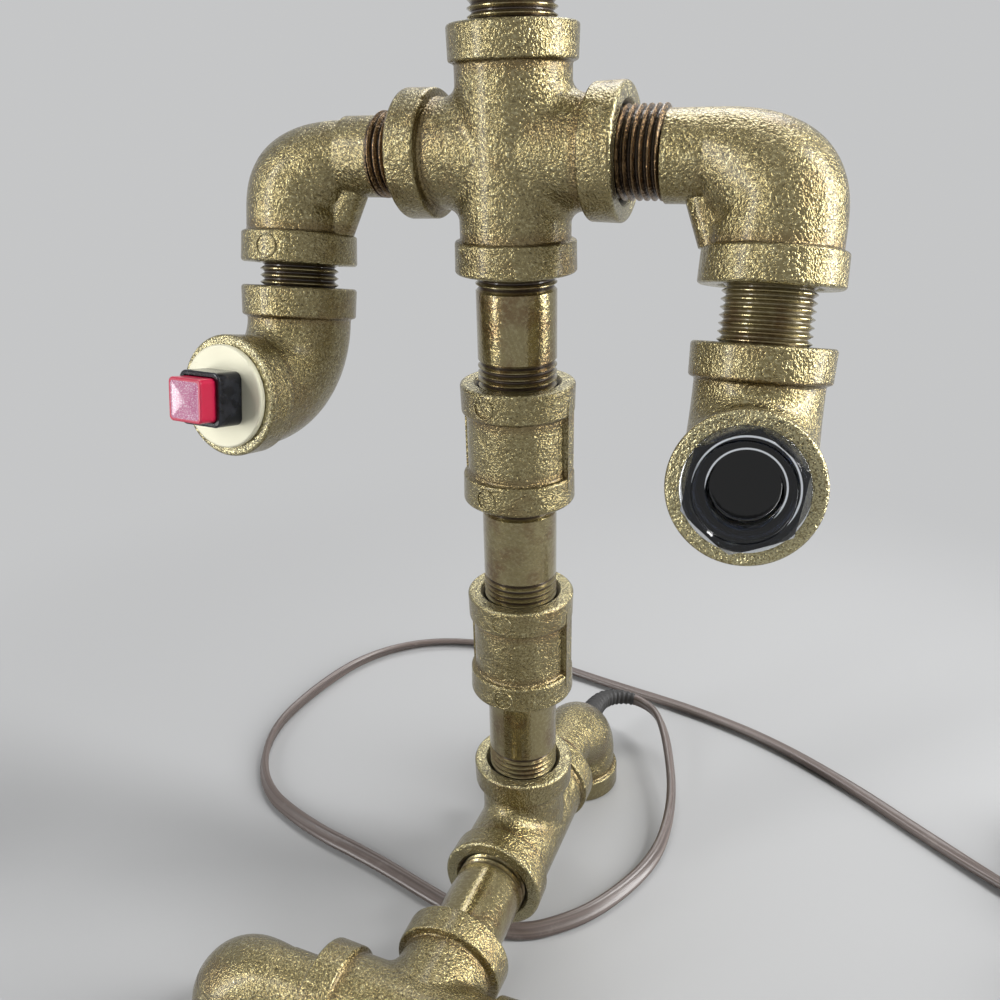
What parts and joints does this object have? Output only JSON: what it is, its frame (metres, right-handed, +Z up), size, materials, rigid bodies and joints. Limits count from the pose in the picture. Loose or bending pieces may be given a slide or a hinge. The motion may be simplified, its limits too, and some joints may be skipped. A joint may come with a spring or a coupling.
{
  "type": "table lamp",
  "caption": "Table lamp screwed together from pipe fittings as a standing figure, with swing arms, a push switch in one hand, a clear plug in the other and a bulb for a head.",
  "frame": {"origin": "bottom centre of the lamp's own box, on the surface that its feet stand on", "axes": "+Z up, the figure faces -Y, its left hand with the switch on -X"},
  "size_m": [0.3809, 0.2366, 0.4378],
  "materials": {
    "cast_gold_paint": "metallic gold paint over sand-cast iron",
    "pipe_gold_paint": "metallic gold paint over smooth pipe",
    "satin_brass": "satin",
    "black_plastic": "satin",
    "bright_steel": "bright",
    "contact_brass": "bright",
    "red_plastic": "gloss",
    "pink_lens": "gloss, slightly clear",
    "clear_plastic": "clear, polished",
    "black_phenolic": "satin",
    "cap_metal": "bright",
    "clear_glass": "clear, faintly amber",
    "filament_metal": "dull",
    "black_rubber": "matt",
    "brown_cord": "soft PVC"
  },
  "bodies": {
    "stand": {"base_tee": "cast_gold_paint", "bulb_filament": "filament_metal", "bulb_glass": "clear_glass", "bulb_insulator": "black_phenolic", "bulb_screw_cap": "cap_metal", "bulb_stem": "clear_glass", "chest_cross": "cast_gold_paint", "chest_nipple": "pipe_gold_paint", "cord_coil": "brown_cord", "cord_grommet": "black_rubber", "cord_run": "brown_cord", "feed_lead": "brown_cord", "front_tee": "cast_gold_paint", "head_reducer": "cast_gold_paint", "hip_nipple": "pipe_gold_paint", "lampholder_body": "black_phenolic", "lampholder_centre_contact": "contact_brass", "lampholder_screw_shell": "contact_brass", "left_foot_elbow": "cast_gold_paint", "leg_nipple": "pipe_gold_paint", "lower_coupling": "cast_gold_paint", "neck_nipple": "pipe_gold_paint", "plug_blades": "contact_brass", "plug_body": "brown_cord", "rear_foot_elbow": "cast_gold_paint", "right_foot_elbow": "cast_gold_paint", "switch_lead_chest": "brown_cord", "upper_coupling": "cast_gold_paint", "waist_nipple": "pipe_gold_paint"},
    "left_arm": {"left_shoulder_elbow": "cast_gold_paint", "left_wrist_nipple": "pipe_gold_paint", "switch_lead_arm": "brown_cord"},
    "left_hand": {"left_hand_elbow": "cast_gold_paint", "switch_plate": "satin_brass", "switch_housing": "black_plastic", "switch_nut": "bright_steel", "switch_base": "black_plastic", "switch_terminals": "contact_brass", "button_spring": "bright_steel", "switch_lead_hand": "brown_cord"},
    "button": {"button_cap": "red_plastic", "button_lens": "pink_lens", "button_stem": "black_plastic", "contact_bridge": "contact_brass"},
    "right_arm": {"right_shoulder_elbow": "cast_gold_paint", "right_wrist_nipple": "pipe_gold_paint"},
    "right_hand": {"right_hand_elbow": "cast_gold_paint", "sight_plug": "clear_plastic"}
  },
  "joints": [
    {"name": "left_shoulder_swing", "type": "hinge", "parent": "stand", "child": "left_arm", "pos_m": [-0.06365, 0.00937, 0.2408], "axis": [-1, 0, 0], "range_deg": [-40, 100]},
    {"name": "left_wrist_turn", "type": "hinge", "parent": "left_arm", "child": "left_hand", "pos_m": [-0.06365, -0.00267, 0.17886], "axis": [0, -0.1908, -0.9816], "range_deg": [-60, 90]},
    {"name": "button_press", "type": "slide", "parent": "left_hand", "child": "button", "axis": [0.1045, 0.9762, -0.1898], "range_m": [0, 0.0025], "stiffness_N_per_m": 400, "springref_m": -0.002, "deforming": ["button_spring"]},
    {"name": "right_shoulder_swing", "type": "hinge", "parent": "stand", "child": "right_arm", "pos_m": [0.06325, 0.00937, 0.2408], "axis": [-1, 0, 0], "range_deg": [-40, 100]},
    {"name": "right_wrist_turn", "type": "hinge", "parent": "right_arm", "child": "right_hand", "pos_m": [0.06325, -0.00687, 0.17158], "axis": [0, 0.2284, 0.9736], "range_deg": [-60, 90]}
  ]
}
